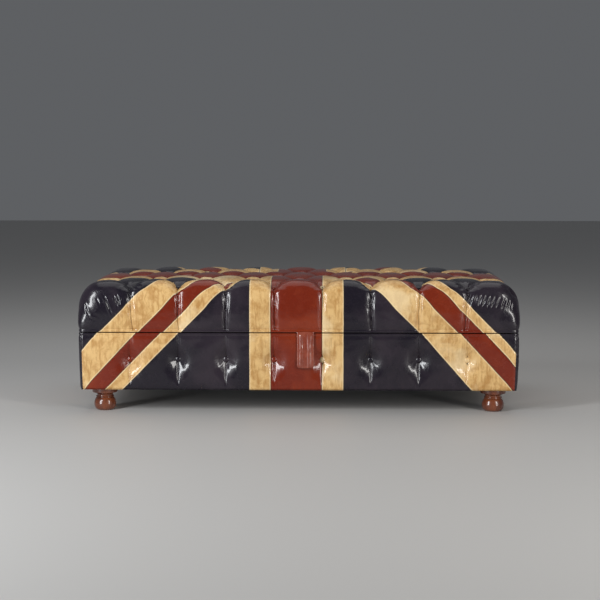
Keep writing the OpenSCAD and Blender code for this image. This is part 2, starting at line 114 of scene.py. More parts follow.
boxShape = {
    "roll": (0.012, 0.012, 0.004),
    "cell": 0.0105,
    "fineCell": 0.0034,
    "dimple": 0.0205,
    "dimpleSize": 0.0315,
    "above": 0.90,            # a dimple is longer above its button, and longer still below
    "below": 0.72,
    "channel": 0.0042,
    "channelWidth": 0.0085,
    "channelEnd": 0.055,      # height above the bottom edge over which the channels fade out
    "crease": 0.0015,
    "creaseWidth": 0.0022,
    "second": 0.4,            # depth of the small crease beside each one, against its own
    "secondGap": 0.0085,
    "crumple": 0.00032,       # depth of the rays round a button
    "rays": 7,
    "rayReach": 0.022,
    "rayWidth": 0.012,
    "bow": 0.0022,            # how far the padding swells between the edges
    "rim": 0.009,
    "edge": 0.0012,           # how far the rim rolls in at the gap
    "narrower": 0.0040,       # the ends of the box against the ends of the lid
    "bottomRoll": 0.009,
    "rimLine": 0.0016,        # depth of the pressed line under the rim
    "rimLineWidth": 0.0022,
    "cornerSeam": 0.0014,
    "cornerSeamWidth": 0.0020,
    "seam": 0.0010,
}

seamWidth = 0.0028            # of the seams between the patches
buttonLine = (buttonLow.z + buttonHigh.z) / 2
seamFill = 0.0009             # how far hem and rim swell into the gap between them


# Shapes shared by both covers

def facesEnd(cube):
    # whether a place is nearer to an end than to a long side
    return np.abs(cube[:, 0]) / halfX > np.abs(cube[:, 1]) / halfY


def smoothStep(low, high, x):
    t = np.clip((x - low) / (high - low), 0, 1)
    return t * t * (3 - 2 * t)


def lumps(points, size, seed, layers=3):
    # soft uneven swelling, from a few sine waves in random directions
    draw = np.random.default_rng(seed)
    total = np.zeros(len(points))
    for layer in range(layers):
        for _ in range(8):
            way = draw.normal(size=3)
            way /= np.linalg.norm(way)
            turns = 2 * math.pi * 2 ** layer / size
            total += np.sin(points @ way * turns + draw.uniform(0, 6.3)) / 1.6 ** layer
    return total / 8


def stations(low, high, cell, fineCell, zones):
    # places along one side, closer together in each zone: its middle and its reach
    x = np.linspace(low, high, 6001)
    density = np.full(len(x), 1 / cell)
    for middle, reach in zones:
        near = 1 - smoothStep(reach, reach * 1.7, np.abs(x - middle))
        density = np.maximum(density, 1 / cell + near * (1 / fineCell - 1 / cell))
    total = np.concatenate([[0], np.cumsum((density[1:] + density[:-1]) / 2 * np.diff(x))])
    return np.interp(np.linspace(0, total[-1], round(total[-1]) + 1), total, x)


def boxGrid(xs, ys, zs, lips, withTop):
    # places on an upright box: an optional top, the four sides and lips turned inwards
    nx, ny = len(xs) - 1, len(ys) - 1
    loop = [(i, 0) for i in range(nx)] + [(nx, j) for j in range(ny)]
    loop += [(i, ny) for i in range(nx, 0, -1)] + [(0, j) for j in range(ny, 0, -1)]
    around = len(loop)
    cube, inset, faces = [], [], []
    if withTop:
        cube += [(x, y, zs[-1]) for x in xs for y in ys]
        inset += [0.0] * len(cube)
        stride = ny + 1
        faces += [(i * stride + j, (i + 1) * stride + j, (i + 1) * stride + j + 1, i * stride + j + 1)
                  for i in range(nx) for j in range(ny)]
        above = [i * (ny + 1) + j for i, j in loop]
        rows = [(z, 0.0) for z in zs[-2::-1]]
    else:
        above = None
        rows = [(zs[-1], d) for d in lips[::-1]] + [(z, 0.0) for z in zs[::-1]]
    rows += [(zs[0], d) for d in lips]
    for z, d in rows:
        start = len(cube)
        cube += [(xs[i], ys[j], z) for i, j in loop]
        inset += [d] * around
        below = list(range(start, start + around))
        if above is not None:
            faces += [(above[k], below[k], below[(k + 1) % around], above[(k + 1) % around])
                      for k in range(around)]
        above = below
    return np.array(cube), np.array(inset), faces


def rounded(cube, inset, roll, top, squareness):
    # moves places on a sharp box onto the same box with rolled edges
    over = np.stack([
        np.abs(cube[:, 0]) - (halfX - roll[0]),
        np.abs(cube[:, 1]) - (halfY - roll[1]),
        cube[:, 2] - (top - roll[2]),
    ], 1) / np.array(roll)
    over = np.maximum(over, 0)
    core = np.stack([
        np.clip(cube[:, 0], roll[0] - halfX, halfX - roll[0]),
        np.clip(cube[:, 1], roll[1] - halfY, halfY - roll[1]),
        np.minimum(cube[:, 2], top - roll[2]),
    ], 1)
    length = (over ** squareness[:, None]).sum(1) ** (1 / squareness)
    scale = np.where(length > 0, over.max(1) / np.maximum(length, 1e-9), 0)
    signs = np.stack([np.sign(cube[:, 0]), np.sign(cube[:, 1]), np.ones(len(cube))], 1)
    place = core + signs * over * np.array(roll) * scale[:, None]
    place[:, 0] = np.clip(place[:, 0], inset - halfX, halfX - inset)
    place[:, 1] = np.clip(place[:, 1], inset - halfY, halfY - inset)
    return place


def newPiece(name, points, faces, smooth=True):
    mesh = bpy.data.meshes.new(name)
    mesh.from_pydata([tuple(p) for p in points], [], faces)
    mesh.update()
    if smooth:
        mesh.polygons.foreach_set("use_smooth", [True] * len(mesh.polygons))
    piece = bpy.data.objects.new(name, mesh)
    bpy.context.scene.collection.objects.link(piece)
    return piece


def setNumbers(mesh, name, values, domain="POINT"):
    layer = mesh.attributes.new(name, "FLOAT", domain)
    layer.data.foreach_set("value", np.asarray(values, np.float32))


def getPlaces(mesh):
    flat = np.zeros(len(mesh.vertices) * 3, np.float32)
    mesh.vertices.foreach_get("co", flat)
    return flat.reshape(-1, 3).astype(float)


def getNormals(mesh):
    flat = np.zeros(len(mesh.vertices) * 3, np.float32)
    mesh.vertex_normals.foreach_get("vector", flat)
    return flat.reshape(-1, 3).astype(float)


def setPlaces(mesh, places):
    mesh.vertices.foreach_set("co", np.asarray(places, np.float32).ravel())
    mesh.update()


def divided(piece, levels=1):
    # applies one smooth subdivision and keeps the box places with it
    modifier = piece.modifiers.new("Smooth", "SUBSURF")
    modifier.levels = levels
    modifier.boundary_smooth = "PRESERVE_CORNERS"
    view = bpy.context.evaluated_depsgraph_get()
    mesh = bpy.data.meshes.new_from_object(piece.evaluated_get(view))
    piece.modifiers.clear()
    old = piece.data
    piece.data = mesh
    bpy.data.meshes.remove(old)
    mesh.polygons.foreach_set("use_smooth", [True] * len(mesh.polygons))
    return piece


def readInset(mesh):
    values = np.zeros(len(mesh.vertices), np.float32)
    mesh.attributes["inset"].data.foreach_get("value", values)
    return values


def startCover(name, rolled, cube, inset, faces):
    # the rounded grid after one subdivision, with what is known at each of its places
    piece = newPiece(name, rolled, faces)
    keepCube(piece.data, cube)
    setNumbers(piece.data, "inset", inset)
    mesh = divided(piece).data
    cube = readCube(mesh)
    return piece, cube, getPlaces(mesh), getNormals(mesh), readInset(mesh), facesEnd(cube)


def readCube(mesh):
    flat = np.zeros(len(mesh.vertices) * 3, np.float32)
    mesh.attributes["cube"].data.foreach_get("vector", flat)
    return flat.reshape(-1, 3).astype(float)


def keepCube(mesh, cube):
    layer = mesh.attributes.new("cube", "FLOAT_VECTOR", "POINT")
    layer.data.foreach_set("vector", np.asarray(cube, np.float32).ravel())


# Where a place on the leather lies in the sewn pattern

def alongArc(path, flatEnd, rollStart, rollDrop):
    # length of leather from the middle line: the roll is shorter than the sharp corner
    reach = flatEnd - rollStart + rollDrop
    quarter = math.pi / 2 * math.sqrt(((flatEnd - rollStart) ** 2 + rollDrop ** 2) / 2)
    inRoll = np.clip((path - rollStart) / reach, 0, 1)
    pastRoll = np.maximum(path - rollStart - reach, 0)
    return np.where(path < rollStart, path, rollStart + inRoll * quarter + pastRoll)


def lidPattern(cube, onEnd):
    drop = lidHigh.z - cube[:, 2]
    rollX, rollY, rollZ = lidShape["roll"]
    u = alongArc(np.abs(cube[:, 0]) + np.where(onEnd, drop, 0), halfX, halfX - rollX, rollZ)
    v = alongArc(np.abs(cube[:, 1]) + np.where(onEnd, 0, drop), halfY, halfY - rollY, rollZ)
    return u * np.sign(cube[:, 0]), v * np.sign(cube[:, 1])


hemArc = float(alongArc(np.array([halfY + lidHigh.z - lidLow.z]), halfY, halfY - lidShape["roll"][1],
                        lidShape["roll"][2])[0])


def foldLine(u):
    # the zigzag of folds between the shoulder row and the next one in
    t = 2 * np.abs((u / tufting["pitchX"] + 0.5) % 1 - 0.5)
    t = np.where(np.abs(u) > tufting["outerColumn"] * tufting["pitchX"], 0, t)
    return tufting["pitchY"] * (1 + t)


def flagPlace(u, v, flap):
    # the back half is the front half turned half a circle
    return np.where(v > 0, -u, u), np.abs(v) + np.where(flap, flag["tucked"], 0)


hemFlag = hemArc + flag["tucked"] + flag["turnedIn"]


def seamDistance(flagU, flagV):
    across = np.minimum(np.abs(flagU + flag["shift"]), flagV)
    slant = (np.abs(flagU) - flagV) * np.sign(flagU)
    cross = np.minimum(np.abs(across - flag["red"]), np.abs(across - flag["cream"]))
    spread = flag["spread"] * np.maximum(flagV - hemFlag, 0)
    left, right = spread * (flagU < 0), spread * (flagU > 0)
    narrow = flag["narrow"] - flag["uneven"] * np.sign(flagU) - left
    edges = np.stack([np.abs(slant - e) for e in (0, flag["band"] - left, narrow, -flag["broad"] - right)])
    band = edges.min(0) * math.sqrt(0.5)
    return np.minimum(cross, np.where(across > flag["cream"], band, 1))


# The deep-buttoned lid

def nearestButton(u, v):
    pitchX, pitchY = tufting["pitchX"], tufting["pitchY"]
    uIn = np.clip(u, -tufting["outerColumn"] * pitchX, tufting["outerColumn"] * pitchX)
    vIn = np.clip(v, -tufting["outerRow"] * pitchY, tufting["outerRow"] * pitchY)
    a = uIn / pitchX + vIn / (2 * pitchY)
    b = uIn / pitchX - vIn / (2 * pitchY)
    nearA, nearB = np.floor(a) + 0.5, np.floor(b) + 0.5
    buttonU, buttonV = pitchX * (nearA + nearB) / 2, pitchY * (nearA - nearB)
    return a, b, u - buttonU, v - buttonV


def tuftDepth(u, v):
    a, b, du, dv = nearestButton(u, v)
    power = tufting["fullness"]
    pillow = np.ones(len(u))
    for t in (a, b):
        edge = np.abs(2 * ((t + 0.5) % 1) - 1)
        pillow = pillow * np.sqrt(np.maximum(1 - edge ** power, 0))
    pillow = pillow ** tufting["swell"]
    pastFront = np.maximum(np.abs(v) - tufting["outerRow"] * tufting["pitchY"], 0)
    pastEnd = np.maximum(np.abs(u) - tufting["outerColumn"] * tufting["pitchX"], 0)
    down = np.clip((pastFront + pastEnd) / (hemArc - tufting["outerRow"] * tufting["pitchY"]), 0, 1)
    strength = 1 - (1 - tufting["pleatEnd"]) * smoothStep(0, 0.30, down)
    depth = tufting["crease"] * strength * (1 - pillow)
    reach = np.hypot(du, dv)
    depth += tufting["dimple"] * np.exp(-(reach / tufting["dimpleSize"]) ** tufting["dimpleFall"])
    return depth, 1 - pillow, du, dv


def nearestColumn(along, onEnd):
    # the line of buttons that a place on the side belongs to
    pitch = np.where(onEnd, 2 * tufting["pitchY"], tufting["pitchX"])
    last = np.where(onEnd, tufting["pitchY"], (tufting["outerColumn"] - 0.5) * tufting["pitchX"])
    return np.clip(np.floor(along / pitch) + 0.5, -last / pitch, last / pitch) * pitch, last


def pleatGap(u, v, onEnd):
    # distance from the nearest pleat, which wanders a little and leans towards the hem
    lastColumn, lastRow = tufting["outerColumn"] * tufting["pitchX"], tufting["outerRow"] * tufting["pitchY"]
    start = np.where(onEnd, lastColumn, lastRow)
    run = np.where(onEnd, np.abs(u), np.abs(v)) - start
    along = np.where(onEnd, v, u)
    column, last = nearestColumn(along, onEnd)
    outermost = (np.abs(column) > last - 0.001) & ~onEnd
    lean = np.where(outermost, -tufting["lean"] * np.sign(column), tufting["slant"] * np.sin(column * 57))
    shift = lean * smoothStep(0.04, 0.21, run) + tufting["waver"] * np.sin(run * 60 + column * 40)
    return along - column - shift, run


def pleatDepth(u, v, onEnd):
    gap, run = pleatGap(u, v, onEnd)
    width = tufting["pleatWidth"]
    strength = smoothStep(-0.012, 0.030, run)
    crease = np.exp(-(gap / width) ** 2) * strength
    flank = np.exp(-(np.abs(gap) / tufting["flankWidth"]) ** tufting["flankFall"]) * strength
    second = np.exp(-((gap - tufting["secondGap"] * width) / width) ** 2) * smoothStep(0.04, 0.1, run)
    depth = tufting["pleat"] * (crease + tufting["second"] * second) + tufting["flank"] * flank
    return depth, crease, strength


# creases in the padding past the outermost pleats: outwards from the pleat and up from the hem
cornerCreases = (
    ((0.084, 0.119), (0.057, 0.064), 1.0),
    ((0.051, 0.119), (0.036, 0.084), 0.7),
    ((0.042, 0.126), (0.028, 0.088), 0.9),
    ((0.024, 0.122), (0.019, 0.098), 0.6),
    ((0.164, 0.112), (0.122, 0.056), 1.0),
    ((0.136, 0.054), (0.098, 0.036), 0.5),
    ((0.108, 0.112), (0.096, 0.092), 0.4),
    ((0.050, 0.062), (0.030, 0.030), 0.5),
    ((0.036, 0.070), (0.022, 0.030), 0.5),
    ((0.066, 0.048), (0.038, 0.018), 0.4),
    ((0.024, 0.078), (0.014, 0.028), 0.4),
)


shortCreases = [((0.018 + 0.0150 * k, 0.132 - 0.0022 * k), (0.002 + 0.0150 * k, 0.090 - 0.0012 * k),
                 0.95 - 0.04 * k) for k in range(11)]
shortCreases += [((0.030, 0.072), (0.012, 0.036), 0.5), ((0.016, 0.084), (0.006, 0.048), 0.5)]

wrinkle = {
    "valley": 0.0032,         # depth and width of a crease past the outermost pleats
    "valleyWidth": 0.0024,
    "ridge": 0.0021,          # and of the ridges beside it
    "ridgeWidth": 0.0027,
    "ridgeGap": 0.0050,
    "farRidge": 0.6,          # the ridge on its far side, against the near one
    "arch": 0.004,
    "pull": 0.0009,           # rays round each lid button
    "pullRays": 11,
    "pullReach": 0.028,
    "pullWidth": 0.018,
    "side": 0.0006,           # short wrinkles beside the pleats
    "sideSpacing": 0.019,
    "sideReach": 0.012,
}


def cornerFolds(u, v, onEnd):
    # each crease is a sharp valley with a ridge on both sides
    out = np.abs(u) - (tufting["outerColumn"] - 0.5) * tufting["pitchX"]
    out = np.where(onEnd, 1, out)
    up = hemArc - np.abs(v)
    total = np.zeros(len(u))
    for corner, (signU, signV) in enumerate(((-1, -1), (1, -1), (1, 1), (-1, 1))):
        here = (np.sign(u) == signU) & (np.sign(v) == signV)
        draw = np.random.default_rng(40 + corner)
        for start, end, strength in cornerCreases if signU * signV > 0 else shortCreases:
            moved = draw.normal(size=4) * (0.0 if corner < 2 else 0.005)
            ax, ay = start[0] + moved[0], start[1] + moved[1]
            bx, by = end[0] + moved[2], end[1] + moved[3]
            length = math.hypot(bx - ax, by - ay)
            t = ((out - ax) * (bx - ax) + (up - ay) * (by - ay)) / length ** 2
            gap = ((out - ax) * (by - ay) - (up - ay) * (bx - ax)) / length
            gap = gap + wrinkle["arch"] * (t - 0.5) ** 2
            fade = smoothStep(-0.1, 0.35, t) * (1 - smoothStep(0.65, 1.1, t))
            valley = np.exp(-(gap / wrinkle["valleyWidth"]) ** 2)
            near = np.exp(-((gap - wrinkle["ridgeGap"]) / wrinkle["ridgeWidth"]) ** 2)
            far = np.exp(-((gap + wrinkle["ridgeGap"]) / wrinkle["ridgeWidth"]) ** 2)
            ridge = near + wrinkle["farRidge"] * far
            fold = ridge * wrinkle["ridge"] - valley * wrinkle["valley"]
            total += np.where(here, fade * strength * fold, 0)
    return total


def lidWrinkles(place, u, v, du, dv, onEnd):
    reach, turn = np.hypot(du, dv), np.arctan2(dv, du)
    spin = np.sin(u * 7.1 + v * 9.7)
    ring = np.exp(-((reach - wrinkle["pullReach"]) / wrinkle["pullWidth"]) ** 2)
    pull = np.sin(wrinkle["pullRays"] * turn + 5 * spin) * ring * wrinkle["pull"]
    gap, run = pleatGap(u, v, onEnd)
    turns = (run * 0.5 + np.abs(gap) * 1.6) / wrinkle["sideSpacing"]
    side = np.sin(2 * math.pi * turns + 3 * lumps(place, 0.2, 5, 1))
    side = side * np.exp(-np.abs(gap) / wrinkle["sideReach"]) * smoothStep(0, 0.03, run) * wrinkle["side"]
    soft = lumps(place, 0.16, 11) * 0.0010 + lumps(place, 0.045, 12) * 0.0004
    return pull + cornerFolds(u, v, onEnd) + side + soft


def lidCover():
    rollZ = lidShape["roll"][2]
    cell, fineCell = lidShape["cell"], lidShape["fineCell"]
    pleats = np.arange(-3.5, 4) * tufting["pitchX"]
    zones = [(x - np.sign(x) * 0.006, 0.012) if abs(x) > 0.5 else (x, 0.008) for x in pleats]
    zones += [(side * (halfX - 0.085), 0.045) for side in (-1, 1)]
    xs = stations(-halfX, halfX, cell, fineCell * 1.2, zones)
    zones = [(side * tufting["pitchY"], 0.007) for side in (-1, 1)]
    ys = stations(-halfY, halfY, cell, fineCell * 1.2, zones)
    top, bottom, hem = lidHigh.z, lidLow.z, lidShape["hem"]
    zs = np.concatenate([[bottom, bottom + 0.004, bottom + hem, bottom + hem + 0.004],
                         np.linspace(bottom + 0.020, top, round((top - bottom - 0.020) / cell))])
    lips = np.array([*lidShape["lips"], lipWidth])
    cube, inset, faces = boxGrid(xs, ys, zs, lips, True)
    height = np.clip((cube[:, 2] - bottom) / (top - rollZ - bottom), 0, 1)
    squareness = lidShape["cornerAtHem"] + (lidShape["cornerAtTop"] - lidShape["cornerAtHem"]) * height
    rolled = rounded(cube, inset, lidShape["roll"], top, squareness)
    piece, cube, place, normal, inset, onEnd = startCover("lid_cover", rolled, cube, inset, faces)
    mesh = piece.data
    u, v = lidPattern(cube, onEnd)
    depth, fold, du, dv = tuftDepth(u, v)
    sharp, crease, onFlap = pleatDepth(u, v, onEnd)
    depth += sharp
    creased = lidWrinkles(place, u, v, du, dv, onEnd)
    flagU, flagV = flagPlace(u, v, (np.abs(v) > foldLine(u)) & ~onEnd)
    groove = lidShape["seam"] * np.exp(-(seamDistance(flagU, flagV) / seamWidth) ** 2)
    height = cube[:, 2] - bottom
    sides = cube[:, 2] < top - 0.001
    pressed = np.exp(-((height - hem - 0.001) / lidShape["hemLineWidth"]) ** 2)
    line = np.where(sides, lidShape["hemLine"] * pressed, 0)
    turnedUnder = inset > 0.0005
    calm = np.where(sides, smoothStep(hem * 0.4, hem * 3.2, height), 1)
    calm = np.where(turnedUnder, 0, calm)
    share = height / (top - bottom)
    bulge = lidShape["bulge"] * smoothStep(0, 0.24, share) * (1 - smoothStep(0.36, 0.72, share))
    toHem = np.where(sides, smoothStep(0.001, hem, height), 1) * ~turnedUnder
    depth = (depth - sharp + groove - creased - bulge) * calm + sharp * toHem + np.where(turnedUnder, 0, line)
    depth += np.where(sides & ~turnedUnder, lidShape["hemSunk"] * (1 - calm), 0)
    depth += np.where(sides, lidShape["edge"] * (1 - smoothStep(0, 0.0055, height)), 0)
    place = place - normal * depth[:, None]
    outwards = smoothStep(0.48, 0.74, np.abs(cube[:, 0]))
    place[:, 2] -= lidShape["crown"] * outwards * smoothStep(0.5, 0.9, share)
    place[:, 2] -= np.where(sides & (inset < 0.004), seamFill * (1 - smoothStep(0, 0.004, height)), 0)
    setPlaces(mesh, place)
    # how deep each place lies in a tufting fold or pleat crease, which the leather material turns into
    # painted shade
    setNumbers(mesh, "fold", fold ** 3 * (1 - onFlap) * 0.8 * calm + crease * toHem)
    colourFaces(mesh, cube, lidPattern, lambda uu, vv, end: (np.abs(vv) > foldLine(uu)) & ~end)
    return piece


def colourFaces(mesh, cube, pattern, onFlap, strip=0.0):
    # the pattern's place at each face corner, so that it breaks cleanly at folds and box corners
    count = len(mesh.loops)
    owner = np.zeros(count, np.int32)
    mesh.loops.foreach_get("vertex_index", owner)
    sizes = np.zeros(len(mesh.polygons), np.int32)
    mesh.polygons.foreach_get("loop_total", sizes)
    face = np.repeat(np.arange(len(sizes)), sizes)
    middle = np.zeros((len(sizes), 3))
    np.add.at(middle, face, cube[owner])
    middle /= sizes[:, None]
    faceEnd = facesEnd(middle)
    if strip:
        faceEnd |= np.abs(middle[:, 0]) > halfX - strip
    middleU, middleV = pattern(middle, faceEnd)
    flap = onFlap(middleU, middleV, faceEnd)[face]
    u, v = pattern(cube[owner], faceEnd[face])
    back = middleV[face] > 0
    flagU = np.where(back, -u, u)
    flagV = np.abs(v) + np.where(flap, flag["tucked"], 0)
    setNumbers(mesh, "flagU", flagU, "CORNER")
    setNumbers(mesh, "flagV", flagV, "CORNER")


# The upholstered box

def boxPattern(cube, onEnd):
    down = lidLow.z - cube[:, 2]
    front = hemArc + flag["tucked"] + flag["turnedIn"] + down * flag["downBox"]
    u = np.where(onEnd, np.abs(cube[:, 0]) + np.maximum(down, 0), np.abs(cube[:, 0])) * np.sign(cube[:, 0])
    v = np.where(onEnd, np.abs(cube[:, 1]), front) * np.sign(cube[:, 1])
    return u, v


def boxDepth(cube, place, onEnd):
    along = np.where(onEnd, cube[:, 1], cube[:, 0])
    column = nearestColumn(along, onEnd)[0]
    aside = along - column
    up = cube[:, 2] - buttonLine
    spin = np.sin(column * 31)
    bent = aside - 0.0012 * np.sin(up * 55 + 5 * spin)
    reach = np.hypot(aside, up * np.where(up < 0, boxShape["below"], boxShape["above"]))
    turn = np.arctan2(up, aside)
    channel = boxShape["channel"] * np.exp(-np.abs(bent) / boxShape["channelWidth"])
    width = boxShape["creaseWidth"]
    crease = np.exp(-(bent / width) ** 2)
    second = np.exp(-((bent - boxShape["secondGap"]) / width) ** 2) * smoothStep(0.0, 0.03, up)
    dimple = boxShape["dimple"] * np.exp(-(reach / boxShape["dimpleSize"]) ** 2)
    rays = np.sin(boxShape["rays"] * turn + 4 * spin) + 0.35 * np.sin(13 * turn + 9 * spin)
    ring = np.exp(-((reach - boxShape["rayReach"]) / boxShape["rayWidth"]) ** 2)
    pull = rays * ring * boxShape["crumple"] * np.where(up < 0, 1.0, 0.4)
    soft = lumps(place, 0.19, 21) * 0.0011 + lumps(place, 0.05, 22) * 0.0004
    bow = boxShape["bow"] * np.cos(math.pi * np.clip(up / 0.2, -0.5, 0.5))
    fade = smoothStep(skinLow.z, skinLow.z + boxShape["channelEnd"], cube[:, 2])
    sharp = boxShape["crease"] * (crease + boxShape["second"] * second)
    depth = (channel + sharp) * fade + dimple - pull - soft - bow
    # the second value marks where shade is painted: along each crease and in a ring round each sunk button
    return depth, 0.8 * crease + np.exp(-(reach / 0.012) ** 4)


def boxCover():
    cell = boxShape["cell"]
    low, high = skinLow.z, skinHigh.z
    roll = boxShape["roll"]
    fineCell = boxShape["fineCell"]
    zones = [(x, 0.020) for x in np.arange(-3.5, 4) * tufting["pitchX"]]
    zones += [(side * halfX, roll[0]) for side in (-1, 1)]
    xs = stations(-halfX, halfX, cell, fineCell, zones)
    zones = [(side * tufting["pitchY"], 0.020) for side in (-1, 1)]
    zones += [(side * halfY, roll[1]) for side in (-1, 1)]
    ys = stations(-halfY, halfY, cell, fineCell, zones)
    rim = boxShape["rim"]
    zs = np.concatenate([[low, low + 0.003],
                         stations(low + 0.009, high - rim - 0.003, cell, 0.0055, [(buttonLine, 0.030)]),
                         [high - rim, high - 0.004, high - 0.001, high]])
    lips = np.array([*lidShape["lips"], lipWidth])
    cube, inset, faces = boxGrid(xs, ys, zs, lips, False)
    # only the upright corners are rolled, so the top is put out of reach
    rolled = rounded(cube, inset, (roll[0], roll[1], 0.001), high + 1, np.full(len(cube), 2.0))
    piece, cube, place, normal, inset, onEnd = startCover("box_cover", rolled, cube, inset, faces)
    mesh = piece.data
    depth, fold = boxDepth(cube, place, onEnd)
    u, v = boxPattern(cube, onEnd)
    groove = boxShape["seam"] * np.exp(-(seamDistance(np.where(v > 0, -u, u), np.abs(v)) / seamWidth) ** 2)
    turnedUnder = inset > 0.0005
    calm = smoothStep(low + 0.001, low + 0.018, cube[:, 2])
    calm = calm * smoothStep(high - 0.004, high - 0.020, cube[:, 2])
    calm = np.where(turnedUnder, 0, calm)
    line = boxShape["rimLine"] * np.exp(-((cube[:, 2] - high + rim) / boxShape["rimLineWidth"]) ** 2)
    cornerSeam = np.abs(np.abs(cube[:, 0]) - halfX + flag["cornerStrip"]) + np.where(onEnd, 1, 0)
    line = line + boxShape["cornerSeam"] * np.exp(-(cornerSeam / boxShape["cornerSeamWidth"]) ** 2)
    depth = (depth + groove) * calm + np.where(turnedUnder, 0, line)
    depth += boxShape["edge"] * (1 - smoothStep(0, 0.0055, high - cube[:, 2]))
    under = np.clip(1 - (cube[:, 2] - low) / boxShape["bottomRoll"], 0, 1)
    depth += np.where(turnedUnder, 0, boxShape["bottomRoll"] * 0.6 * (1 - np.sqrt(1 - under ** 2)))
    place = place - normal * depth[:, None]
    place[:, 2] += np.where(inset < 0.004, seamFill * (1 - smoothStep(0, 0.004, high - cube[:, 2])), 0)
    taper = boxShape["narrower"] * (0.7 + 0.8 * (high - cube[:, 2]) / (high - low))
    place[:, 0] -= np.sign(cube[:, 0]) * taper * smoothStep(halfX - 0.05, halfX, np.abs(cube[:, 0]))
    setPlaces(mesh, place)
    # the crease and button-ring numbers, which the leather material turns into painted shade
    setNumbers(mesh, "fold", np.clip(fold * 0.9, 0, 1) * calm)
    colourFaces(mesh, cube, boxPattern, lambda uu, vv, end: np.zeros(len(uu), bool), flag["cornerStrip"])
    return piece


print("covers")
lid = lidCover()
box = boxCover()


# The covered buttons, domes with a gathered rim

buttonShape = {
    "radius": 0.0108,
    "dome": 0.0062,
    "rings": 7,
    "spokes": 28,
    "sunk": 0.0008,           # how far a lid button sits in the leather
    "sunkInBox": 0.0012,
}


def buttonMesh():
    # a dome with a tucked edge and small gathers round its rim
    points, faces = [(0, 0, buttonShape["dome"])], []
    rings, spokes, radius = buttonShape["rings"], buttonShape["spokes"], buttonShape["radius"]
    profile = [(math.sin(math.pi / 2 * k / (rings - 2)), math.cos(math.pi / 2 * k / (rings - 2)))
               for k in range(1, rings - 1)] + [(0.93, -0.35), (0.78, -0.5)]
    for k, (out, up) in enumerate(profile):
        for s in range(spokes):
            turn = 2 * math.pi * s / spokes
            gather = 1 + 0.025 * math.cos(7 * turn) * (k / rings)
            points.append((radius * out * gather * math.cos(turn), radius * out * gather * math.sin(turn),
                           buttonShape["dome"] * up))
    faces += [(0, 1 + s, 1 + (s + 1) % spokes) for s in range(spokes)]
    for k in range(len(profile) - 1):
        a, b = 1 + k * spokes, 1 + (k + 1) * spokes
        faces += [(a + s, b + s, b + (s + 1) % spokes, a + (s + 1) % spokes) for s in range(spokes)]
    last = 1 + (len(profile) - 1) * spokes
    faces.append(tuple(last + s for s in reversed(range(spokes))))
    return np.array(points), faces


def buttonsPiece(name, spots):
    # spots: place, outward direction and the pattern's place there
    points, faces, flagU, flagV = [], [], [], []
    dome, domeFaces = buttonMesh()
    rim = smoothStep(0.70, 0.98, np.hypot(dome[:, 0], dome[:, 1]) / buttonShape["radius"])
    for place, outward, u, v in spots:
        turn = np.array(Vector(outward).to_track_quat("Z", "Y").to_matrix())
        start = sum(len(p) for p in points)
        points.append(dome @ turn.T + np.array(place))
        faces += [tuple(start + i for i in f) for f in domeFaces]
        flagU += [u] * len(dome)
        flagV += [v] * len(dome)
    piece = newPiece(name, np.concatenate(points), faces)
    setNumbers(piece.data, "flagU", flagU)
    setNumbers(piece.data, "flagV", flagV)
    # painted shade: each button's rim is marked so that the leather material darkens it where it sinks into
    # the leather
    setNumbers(piece.data, "fold", np.tile(rim, len(spots)))
    return piece


def lidButtonSpots():
    # each button sits on the finished leather, at its place in the pattern
    mesh = lid.data
    cube, place, normal = readCube(mesh), getPlaces(mesh), getNormals(mesh)
    onEnd = facesEnd(cube)
    u, v = lidPattern(cube, onEnd)
    spots = []
    for row in range(-2, 3):
        columns = np.arange(-3.5, 4) if row % 2 == 0 else np.arange(-4, 5)
        for column in columns:
            buttonU, buttonV = column * tufting["pitchX"], row * tufting["pitchY"]
            near = np.hypot(u - buttonU, v - buttonV)
            here = near < 0.012
            around = (near > 0.05) & (near < 0.075)
            outward = normal[around].mean(0)
            outward /= np.linalg.norm(outward)
            centre = place[here].mean(0) - outward * buttonShape["sunk"]
            u0, v0 = flagPlace(np.array([buttonU]), np.array([buttonV - 1e-6 if row <= 0 else buttonV]),
                               np.array([False]))
            spots.append((centre, outward, float(u0[0]), float(v0[0])))
    return spots


def boxButtonSpots(side):
    # side is a unit direction along X or Y
    mesh = box.data
    cube, place = readCube(mesh), getPlaces(mesh)
    axis = 0 if side[0] else 1
    reach = halfX if axis == 0 else halfY
    onSide = cube[:, axis] * side[axis] > reach - 0.001
    if axis == 1:
        alongs = np.arange(-3.5, 4) * tufting["pitchX"]
    else:
        alongs = np.array([-1, 1]) * tufting["pitchY"]
    spots = []
    for along in alongs:
        near = np.hypot(cube[:, 1 - axis] - along, cube[:, 2] - buttonLine)
        here = onSide & (near < 0.012)
        outward = np.array([side[0], side[1], 0.0])
        centre = place[here].mean(0) - outward * buttonShape["sunkInBox"]
        x = along if axis == 1 else side[0] * halfX
        y = along if axis == 0 else side[1] * halfY
        corner = np.array([[x, y, buttonLine]])
        u, v = boxPattern(corner, np.array([axis == 0]))
        u0, v0 = flagPlace(u, v, np.array([False]))
        spots.append((centre, outward, float(u0[0]), float(v0[0])))
    return spots


print("buttons")
lidButtons = buttonsPiece("lid_covered_buttons", lidButtonSpots())
frontButtons = buttonsPiece("box_front_covered_buttons", boxButtonSpots((0, -1)))
backButtons = buttonsPiece("box_back_covered_buttons", boxButtonSpots((0, 1)))
endButtons = buttonsPiece("box_end_covered_buttons", boxButtonSpots((-1, 0)) + boxButtonSpots((1, 0)))


# The pull tab

tabShape = {
    "border": 0.0045,         # width of the rolled edge
    "hang": 0.0050,           # how far its end stands away from the box
    "cell": 0.0028,
    "corner": 0.012,
    "flatTop": 0.016,         # length without ridges, next to the hinge line
    # height, place and width of each long ridge, in shares of the half thickness and half width
    "ridges": ((0.50, 0.42, 0.20), (0.38, -0.50, 0.18), (0.18, -0.02, 0.12)),
}


